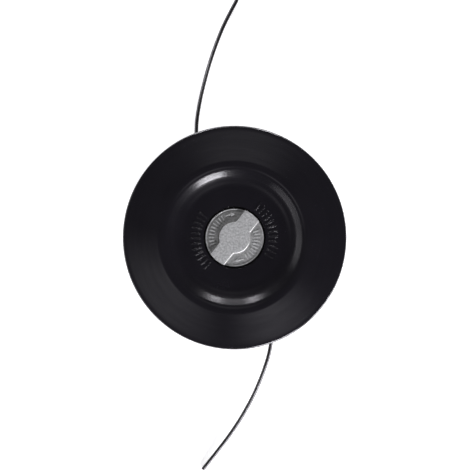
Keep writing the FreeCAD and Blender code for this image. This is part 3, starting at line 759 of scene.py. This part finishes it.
top_loop = np.concatenate([end_arc, wall_rows[0][1:-1], half_turn(end_arc), half_turn(wall_rows[0][1:-1])])
top_loop = np.concatenate([top_loop, top_loop[:1] + (2 * np.pi, 0, 0)])
top_rows = [top_loop * (1, share, 1) for share in np.linspace(0, 1, 6)]
starts = np.array([row[0] for row in wall_rows])
ends = np.array([row[-1] for row in wall_rows])[::-1]
half_loop = np.concatenate([end_arc, starts[1:], floor_rows[-1][1:], ends[1:]])
rim_loop = np.concatenate([half_loop[:-1], half_turn(half_loop)])
rim_rows = []
for turn in np.linspace(0, np.pi / 2, 6):
    rim_rows.append(np.stack([
        rim_loop[:, 0],
        np.full(len(rim_loop), rim_start + KNOB_EDGE * np.sin(turn)),
        rim_loop[:, 2] - KNOB_EDGE * (1 - np.cos(turn)),
    ], axis=1))
waist = rim_rows[-1]
for share in (0.5, 1.0):
    level = waist.copy()
    level[:, 2] += share * (KNOB_BOTTOM + KNOB_EDGE - waist[:, 2])
    rim_rows.append(level)
under = [
    (KNOB_RADIUS - KNOB_EDGE * (1 - np.cos(turn)), KNOB_BOTTOM + KNOB_EDGE * (1 - np.sin(turn)))
    for turn in np.linspace(0, np.pi / 2, 6)[1:]
] + [
    (NECK_RADIUS + NECK_EDGE, KNOB_BOTTOM), (NECK_RADIUS, KNOB_BOTTOM - NECK_EDGE),
    (NECK_RADIUS, NECK_END + NECK_EDGE), (NECK_RADIUS - NECK_EDGE, NECK_END),
    (NUT_RADIUS, NECK_END), (NUT_RADIUS, NUT_TOP), (0.0, NUT_TOP),
]
for radius, height in under:
    ring = np.full(len(rim_loop), radius), np.full(len(rim_loop), height)
    rim_rows.append(np.stack([rim_loop[:, 0], *ring], axis=1))
knob_parts = [polar_surface(rows, turn=BAR_DIRECTION) for rows in (
    top_rows, wall_rows, floor_rows, [half_turn(row) for row in wall_rows],
    [half_turn(row) for row in floor_rows], rim_rows,
)]


def welded(piece, distance=1e-6):
    """Joins the points that lie together, drops faces with no area and turns all faces outwards."""
    work = bmesh.new()
    work.from_mesh(piece.data)
    bmesh.ops.remove_doubles(work, verts=work.verts, dist=distance)
    bmesh.ops.dissolve_degenerate(work, edges=work.edges, dist=distance)
    bmesh.ops.recalc_face_normals(work, faces=work.faces)
    work.to_mesh(piece.data)
    work.free()


def cast_metal(name, colour, rough, painted_light_and_wear=None):
    """Tumbled die casting: metal whose gloss and tone vary in small patches, with a dented, grainy skin. The
    mesh attribute that is named darkens the colour where it is positive, for oxide in hollows and painted
    shade, and where negative pales it and smooths the gloss, for rubbed wear and a painted highlight."""
    material, tree, surface = fresh(name)
    scales = {"Fine Scale": 2200.0, "Cloud Scale": 900.0}
    skin = shader(tree, "Group", scales, node_tree=moulded_skin).outputs
    tone = ramp(tree, skin["Cloud"], *NOISE_RANGE, 0.0, 1.0)
    tint = mixed(tree, tone, *shades(colour, 0.76, 1.20))
    gloss = ramp(tree, tone, 0.0, 1.0, rough + 0.06, rough - 0.04)
    if painted_light_and_wear:
        place = shader(tree, "Attribute", attribute_name=painted_light_and_wear).outputs["Fac"]
        # Painted light in the colour: oxide and painted shade darken it, rubbed wear and a painted highlight
        # pale it.
        tint = mixed(tree, place, tint, SHADE_AND_OXIDE_TINT, "MULTIPLY")
        lit_and_rubbed = ramp(tree, place, -1.0, 0.0, 1.0, 0.0)
        tint = mixed(tree, lit_and_rubbed, tint, HIGHLIGHT_AND_WEAR_TINT)
        gloss = maths(tree, "MULTIPLY_ADD", lit_and_rubbed, -RUBBED_SMOOTHER, gloss)
    grain = maths(tree, "MULTIPLY_ADD", skin["Height"], 0.35, skin["Cloud"])
    normal = bumped(tree, grain, CAST_SKIN, strength=0.9)
    fill(tree, surface, {"Base Color": tint, "Roughness": gloss, "Normal": normal, "Metallic": 1.0})
    return material


cast_aluminium = cast_metal("cast_aluminium", (0.59, 0.60, 0.59), 0.74, "painted_light_and_wear")
knob = finished("cast_knob", *joined(*knob_parts), cast_aluminium, "knob_body", "cast_aluminium", 42.0)
welded(knob)
smoothed(knob.data, 42.0)
knob_points = np.array([point.co for point in knob.data.vertices])
knob_reach = np.hypot(knob_points[:, 0], knob_points[:, 1])
depth = KNOB_TOP - knob_points[:, 2]
in_pocket = soft_step(bead_start + 0.1 * MM - knob_reach, 0.2 * MM)
# Darkening of the pockets below a depth: partly oxide in the hollows, partly painted shade of the recess.
low = soft_step(depth - DARKENED_DEPTH, 0.3 * MM) * in_pocket
above_floor = knob_points[:, 2] - pocket_floor(knob_reach)
raised = np.clip(above_floor / RELIEF_HEIGHT, 0, 1)
# Painted shade on the pocket walls on the shaded side of the bar.
walls = soft_step(depth - SHADED_WALL_TOP, 0.2 * MM) * soft_step(SHADED_WALL_FOOT - depth, 0.3 * MM) * in_pocket
across_bar = knob_points[:, 1] * math.cos(BAR_DIRECTION) - knob_points[:, 0] * math.sin(BAR_DIRECTION)
# Painted shade round the sides of the raised relief, where it meets the pocket floor.
relief_shade = RELIEF_SHADE * 4 * raised * (1 - raised)
# The pocket on the shaded side of the bar gets more painted shade than the lit one; relief tops are rubbed
# paler.
shade_and_wear = low * (np.where(across_bar > 0, SHADED_POCKET_DARKENING, LIT_POCKET_DARKENING) + relief_shade - RUBBED_RELIEF * raised)
shade_and_wear = np.maximum(shade_and_wear, np.where(across_bar > 0, walls, 0))
# Painted highlight, with smoother gloss, on the pocket walls on the lit side of the bar.
lit_and_rubbed = soft_step(above_floor - 1.05 * RELIEF_HEIGHT, 0.08 * MM) * soft_step(depth - 0.01 * MM, 0.04 * MM)
shade_and_wear = np.where((across_bar < 0) & (lit_and_rubbed * in_pocket > 0), -lit_and_rubbed * in_pocket, shade_and_wear)
knob.data.attributes.new("painted_light_and_wear", "FLOAT", "POINT").data.foreach_set("value", np.clip(shade_and_wear, -1, 1))
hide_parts("knob")

# Housing. A cup of the same black nylon, moulded with a satin skin: hub, floor with fan ribs, wall with
# grip ribs, and pads that the line eyelets sit in. Round ejector marks stand between the fan ribs.
EJECTOR_RADIUS = 36.0 * MM
EJECTOR_SIZE = 2.6 * MM
EJECTOR_EDGE = 0.12 * MM
EJECTOR_DEPTH = 0.12 * MM
SOFT_EDGE = 0.25 * MM
FAN_RIBS = 12


def merged_copy(node, name, body, material, flat_angle):
    """A CAD node's solid with its loose triangles welded and its flat faces made whole, smooth shaded with
    sharp edges, in place of the node."""
    mesh = node.data.copy()
    mesh.name = name
    mesh.materials.clear()
    mesh.materials.append(material)
    copy = bpy.data.objects.new(name, mesh)
    scene.collection.objects.link(copy)
    welded(copy)
    work = bmesh.new()
    work.from_mesh(mesh)
    bmesh.ops.dissolve_limit(
        work, angle_limit=math.radians(0.5), verts=work.verts, edges=work.edges, delimit={"NORMAL"}
    )
    work.to_mesh(mesh)
    work.free()
    smoothed(mesh, flat_angle)
    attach(copy, body)
    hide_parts(node.name)
    return copy


def ejector_marks(tree):
    """Height of the round ejector marks under the floor: 1 inside each ring, 0 outside, by polar place."""
    place = object_place(tree)
    parts = shader(tree, "SeparateXYZ", {0: place}).outputs
    radius = vectors(tree, "LENGTH", level_part(tree, place))
    sector = 2 * math.pi / FAN_RIBS
    turned = maths(tree, "FLOORED_MODULO", maths(tree, "ARCTAN2", parts["Y"], parts["X"]), sector)
    angle = maths(tree, "SUBTRACT", turned, sector / 2)
    outward = maths(tree, "MULTIPLY", radius, maths(tree, "COSINE", angle))
    along = maths(tree, "SUBTRACT", outward, EJECTOR_RADIUS)
    aside = maths(tree, "MULTIPLY", radius, maths(tree, "SINE", angle))
    away = vectors(tree, "LENGTH", shader(tree, "CombineXYZ", {"X": along, "Y": aside}).outputs[0])
    edge = EJECTOR_SIZE - EJECTOR_EDGE, EJECTOR_SIZE + EJECTOR_EDGE
    return ramp(tree, away, *edge, 1.0, 0.0, "SMOOTHSTEP")


housing_nylon = nylon(
    "housing_nylon", (0.0125, 0.0120, 0.0140), rough=(0.42, 0.56), grain=1500.0, depth=0.012 * MM,
    coat=0.15, coat_rough=0.25,
)
paint = housing_nylon.node_tree
stamped = bumped(paint, ejector_marks(paint), EJECTOR_DEPTH)
paint.links.new(stamped, paint.nodes["Bump"].inputs["Normal"])
cup = merged_copy(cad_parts["housing"], "moulded_cup", "head", housing_nylon, 30.0)
soft_edges = cup.modifiers.new("soft_edges", "BEVEL")
soft_edges.width = SOFT_EDGE
soft_edges.segments = 2
soft_edges.limit_method = "ANGLE"
soft_edges.angle_limit = math.radians(50.0)
soft_edges.harden_normals = True

# Line eyelets. Turned aluminium, pressed in the cup wall from outside up to the flange, with a rounded
# mouth, so that the running line doesn't cut the nylon.
EYELET_BORE = 1.8 * MM
EYELET_BARREL = 3.0 * MM
EYELET_FLANGE = 4.6 * MM
EYELET_INNER_END = 46.4 * MM
EYELET_FACE = 51.2 * MM
EYELET_OUTER_END = 52.5 * MM
MOUTH_ROUND = 0.7 * MM
FLANGE_EDGE, BARREL_EDGE = 0.15 * MM, 0.2 * MM


def turning_group():
    """Fine rings round the Z axis of a vector: noise of radius and height only, as a height and as a tone."""
    group, given, out = node_group(
        "turning_rings", {"Vector": "Vector", "Ring Scale": "Float"}, {"Height": "Float", "Tone": "Float"}
    )
    reach = vectors(group, "LENGTH", level_part(group, given["Vector"]))
    height = shader(group, "SeparateXYZ", {0: given["Vector"]}).outputs["Z"]
    place = shader(group, "CombineXYZ", {"X": reach, "Y": height}).outputs[0]
    slower = maths(group, "MULTIPLY", given["Ring Scale"], 0.12)
    rings = shader(group, "TexNoise", {"Vector": place, "Scale": given["Ring Scale"], "Detail": 2.0})
    bands = shader(group, "TexNoise", {"Vector": place, "Scale": slower, "Detail": 1.0})
    fill(group, out, {"Height": rings.outputs["Fac"], "Tone": bands.outputs["Fac"]})
    return group


turning_rings = turning_group()


def turned_metal(name, colour, rough, scale, depth, centre=(0, 0, 0), turn=(0, 0, 0)):
    """Turned metal: fine rings round the axis that centre and turn give, its tone and gloss in bands."""
    material, tree, surface = fresh(name)
    given = {"Vector": object_place(tree), "Location": centre, "Rotation": turn}
    own = shader(tree, "Mapping", given, vector_type="TEXTURE").outputs["Vector"]
    given = {"Ring Scale": scale, "Vector": own}
    rings = shader(tree, "Group", given, node_tree=turning_rings).outputs
    fill(tree, surface, {
        "Base Color": mixed(tree, rings["Tone"], *shades(colour, 0.86, 1.10)),
        "Roughness": ramp(tree, rings["Tone"], *NOISE_RANGE, *rough),
        "Normal": bumped(tree, rings["Height"], depth),
        "Metallic": 1.0,
    })
    return material


mouth_arc = np.linspace(0, np.pi / 2, 7)
rise, run = MOUTH_ROUND * (1 - np.sin(mouth_arc)), MOUTH_ROUND * (1 - np.cos(mouth_arc))
mouth_inner = np.stack([EYELET_BORE + run, EYELET_OUTER_END - rise], axis=1)
mouth_outer = np.stack([EYELET_FLANGE - rise, EYELET_OUTER_END - run], axis=1)
eyelet_section = np.concatenate([
    [(EYELET_BORE, EYELET_INNER_END)], mouth_inner, mouth_outer,
    [(EYELET_FLANGE, EYELET_FACE + FLANGE_EDGE), (EYELET_FLANGE - FLANGE_EDGE, EYELET_FACE),
     (EYELET_BARREL, EYELET_FACE), (EYELET_BARREL, EYELET_INNER_END + BARREL_EDGE),
     (EYELET_BARREL - BARREL_EDGE, EYELET_INNER_END)],
])
eyelet_aluminium = turned_metal(
    "eyelet_aluminium", (0.68, 0.68, 0.70), rough=(0.22, 0.34), scale=5000.0, depth=0.006 * MM,
    centre=(0, 0, LINE_EXIT_HEIGHT), turn=(0, math.pi / 2, math.radians(LINE_EXIT_ANGLE)),
)
upright_points, eyelet_faces = turned_closed(eyelet_section, 64)
for mark, angle in (("a", LINE_EXIT_ANGLE), ("b", LINE_EXIT_ANGLE + 180.0)):
    c, s = math.cos(math.radians(angle)), math.sin(math.radians(angle))
    # The eyelet's own axis turns outwards, its own X goes down and its own Y goes along the wall
    laid = upright_points @ np.array([[0, 0, -1], [-s, c, 0], [c, s, 0]]) + (0, 0, LINE_EXIT_HEIGHT)
    name = "turned_eyelet_" + mark
    eyelet = finished(name, laid, eyelet_faces, eyelet_aluminium, "head", "eyelet_aluminium", 40.0)
    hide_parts("line_eyelet_" + mark)

# Spindle. Turned steel, zinc plated, moulded into the hub by its hexagon and collar: a left-hand thread
# bore for the arbor below, a bearing shaft for the spool, and a left-hand stud for the knob.
ARBOR_RADIUS = 5.05 * MM
ARBOR_ROOT = 0.92 * MM
ARBOR_PITCH = 1.75 * MM
ARBOR_END = 18.7 * MM
DRILL_POINT = 3.03 * MM
LEAD_IN, LEAD_IN_FALL = 1.2 * MM, 0.25 * MM
SPINDLE_EDGE, HUB_NECK_EDGE = 0.3 * MM, 0.2 * MM
STUD_POINT, STUD_POINT_RISE = 0.75 * MM, 0.8 * MM
STUD_RADIUS = 4.51 * MM
STUD_ROOT = 0.70 * MM
STUD_PITCH = 1.5 * MM
STUD_TOP = 42.1 * MM
SHAFT_TOP = 34.4 * MM
SHAFT_RADIUS = 7.0 * MM
HEX_HALF, HEX_TOP = 11.0 * MM, 8.0 * MM
COLLAR_RADIUS, COLLAR_BOTTOM, COLLAR_TOP = 14.5 * MM, 4.5 * MM, 6.5 * MM
HUB_NECK, HUB_NECK_TOP = 9.0 * MM, 16.6 * MM
SPINDLE_FACE = 3.0 * MM
SPINDLE_TURNS = 120


def left_thread(angles, height, pitch):
    """Depth of a left-hand thread, 0 at the crest and 1 at the root: it goes down as the angle goes up."""
    turn = (height / pitch + angles / (2 * np.pi)) % 1.0
    return np.clip(1.5 - 3.0 * np.abs(turn - 0.5) * 2 / 1.25, 0, 1)


def rings_of(stations, angles):
    """Rows of polar points, each from a radius (a number or one for each angle) and a height."""
    return [
        np.stack([angles, np.broadcast_to(radius, angles.shape), np.full(angles.shape, height)], axis=1)
        for radius, height in stations
    ]


spindle_angles = np.arange(SPINDLE_TURNS) * 2 * np.pi / SPINDLE_TURNS
hexagon = np.minimum(
    HEX_HALF / np.cos((spindle_angles % (np.pi / 3)) - np.pi / 6), HEX_HALF / math.cos(math.pi / 6) - 0.2 * MM
)
bore_rows = [(0.0, ARBOR_END + DRILL_POINT), (ARBOR_RADIUS, ARBOR_END)]
for height in np.arange(ARBOR_END - 0.2 * MM, SPINDLE_FACE + 0.7 * MM, -0.2 * MM):
    fade = min(1.0, (ARBOR_END - height) / ARBOR_PITCH)
    cut = fade * ARBOR_ROOT * left_thread(spindle_angles, height, ARBOR_PITCH)
    bore_rows.append((ARBOR_RADIUS + cut, height))
stud_rows = []
for height in np.arange(SHAFT_TOP, STUD_TOP - STUD_POINT_RISE, 0.18 * MM):
    fade = min(1.0, (height - SHAFT_TOP) / STUD_PITCH)
    cut = fade * STUD_ROOT * left_thread(spindle_angles, height, STUD_PITCH)
    stud_rows.append((STUD_RADIUS - cut, height))
spindle_rows = rings_of(
    bore_rows
    + [(ARBOR_RADIUS + LEAD_IN - LEAD_IN_FALL, SPINDLE_FACE + LEAD_IN_FALL),
       (ARBOR_RADIUS + LEAD_IN, SPINDLE_FACE),
       (hexagon - SPINDLE_EDGE, SPINDLE_FACE), (hexagon, SPINDLE_FACE + SPINDLE_EDGE),
       (hexagon, COLLAR_BOTTOM), (COLLAR_RADIUS, COLLAR_BOTTOM), (COLLAR_RADIUS, COLLAR_TOP),
       (hexagon, COLLAR_TOP), (hexagon, HEX_TOP), (HUB_NECK, HEX_TOP),
       (HUB_NECK, HUB_NECK_TOP - HUB_NECK_EDGE), (HUB_NECK - HUB_NECK_EDGE, HUB_NECK_TOP),
       (SHAFT_RADIUS, HUB_NECK_TOP), (SHAFT_RADIUS, SHAFT_TOP - SPINDLE_EDGE),
       (SHAFT_RADIUS - SPINDLE_EDGE, SHAFT_TOP)]
    + stud_rows
    + [(STUD_RADIUS - STUD_POINT, STUD_TOP), (0.0, STUD_TOP)],
    spindle_angles,
)
spindle_steel = turned_metal(
    "spindle_steel", (0.58, 0.57, 0.54), rough=(0.24, 0.38), scale=2600.0, depth=0.008 * MM
)
spindle = finished(
    "threaded_spindle", *polar_surface(spindle_rows, (0, 1)), spindle_steel, "head", "spindle_steel", 30.0
)
welded(spindle)
smoothed(spindle.data, 30.0)
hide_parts("spindle")

# Knob nut and washer. The nut is turned brass, cast into the knob. The washer is punched from sheet and
# zinc plated, and turns loose on the knob's neck, so that the knob doesn't rub on the cover.


def dressed(names, material):
    """Gives CAD nodes their material."""
    for name in names:
        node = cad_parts[name]
        node.data.materials.clear()
        node.data.materials.append(material)


def plated_sheet(name, colour, rough):
    """Punched sheet with bright zinc: fine crystals and a low cloud of blue and straw colour."""
    material = cast_metal(name, colour, rough)
    tree, surface = insides(material)
    tree.nodes["Bump"].inputs["Distance"].default_value = 0.008 * MM
    cloud = shader(tree, "TexNoise", {"Vector": object_place(tree), "Scale": 160.0}).outputs["Fac"]
    cast = mixed(tree, cloud, (0.93, 0.97, 1.0, 1.0), (1.0, 0.96, 0.86, 1.0))
    bare = surface["Base Color"].links[0].from_socket
    fill(tree, surface, {"Base Color": mixed(tree, 1.0, bare, cast, "MULTIPLY")})
    return material


insert_brass = turned_metal(
    "insert_brass", (0.78, 0.57, 0.25), rough=(0.24, 0.36), scale=4000.0, depth=0.005 * MM
)
dressed(["knob_insert"], insert_brass)
dressed(["knob_washer"], plated_sheet("washer_steel", (0.60, 0.61, 0.62), 0.34))

# Spool and its bush. The spool is moulded in dark grey nylon, with three flanges and the lugs under its
# web. The bush is natural acetal, pressed in the spool's hub.
spool_nylon = nylon("spool_nylon", (0.085, 0.086, 0.090), rough=(0.40, 0.54), grain=1500.0, depth=0.010 * MM)
bush_acetal = nylon("bush_acetal", (0.74, 0.72, 0.67), rough=(0.32, 0.44), grain=1100.0, depth=0.006 * MM)
dressed(["spool"], spool_nylon)
dressed(["spool_bush"], bush_acetal)

# Wound line. Some fifteen turns of the same nylon line fill each chamber of the spool. Each turn has a
# row of its own, so the sheen runs round the spool in fine lines.
wound_line = nylon("wound_line", (0.012, 0.012, 0.013), rough=(0.30, 0.42), grain=3000.0, depth=0.004 * MM)
paint = wound_line.node_tree
given = {"Ring Scale": 2200.0, "Vector": object_place(paint)}
along_line = shader(paint, "Group", given, node_tree=turning_rings).outputs["Height"]
paint.links.new(bumped(paint, along_line, 0.012 * MM), paint.nodes["Bump"].inputs["Normal"])
dressed(["line_winding_lower", "line_winding_upper"], wound_line)

# Feed slide and its weight. The slide is natural acetal, so that it runs dry between its rails. The
# weight is a steel slug pressed in its front, ground on its flat faces.


def ground_steel(name, colour, rough, grain):
    """Ground steel: long fine scratches along Y, by noise drawn out in that direction."""
    material = turned_metal(name, colour, (rough - 0.05, rough + 0.06), 1.0, 0.006 * MM)
    tree = material.node_tree
    given = {"Vector": object_place(tree), "Scale": (grain, grain / 60, grain)}
    drawn_out = shader(tree, "Mapping", given).outputs["Vector"]
    lines = shader(tree, "TexNoise", {"Vector": drawn_out, "Scale": 1.0, "Detail": 3.0}).outputs["Fac"]
    tree.links.new(lines, tree.nodes["Bump"].inputs["Height"])
    tree.links.new(lines, tree.nodes["Map Range"].inputs["Value"])
    return material


slide_acetal = nylon("slide_acetal", (0.70, 0.68, 0.61), rough=(0.30, 0.42), grain=1100.0, depth=0.006 * MM)
dressed(["feed_slide"], slide_acetal)
dressed(["slide_weight"], ground_steel("weight_steel", (0.42, 0.42, 0.43), 0.36, 6000.0))

# Spring and its pin. The spring is wound from hard drawn wire, and the pin is cut from drawn rod and
# pressed in the spring block. Both keep the fine lines of drawing, and the slide presses the spring.
SPRING_AXIS_HEIGHT = 14.05 * MM
spring_steel = turned_metal(
    "spring_steel", (0.46, 0.46, 0.47), rough=(0.28, 0.40), scale=7000.0, depth=0.004 * MM,
    centre=(0, 0, SPRING_AXIS_HEIGHT), turn=(0, math.pi / 2, 0),
)
dressed(["spring_pin"], spring_steel)
slide_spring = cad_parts["slide_spring"]
spring = merged_copy(slide_spring, "wound_spring", "head", spring_steel, 40.0)
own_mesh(spring)

# Thrust washers. Two punched rings of natural acetal lie loose on the shaft, below and above the spool,
# which turns between them. Their faces are polished where it has run.
dressed(
    ["lower_thrust_washer", "upper_thrust_washer"],
    nylon("washer_acetal", (0.76, 0.74, 0.69), rough=(0.22, 0.38), grain=900.0, depth=0.004 * MM),
)
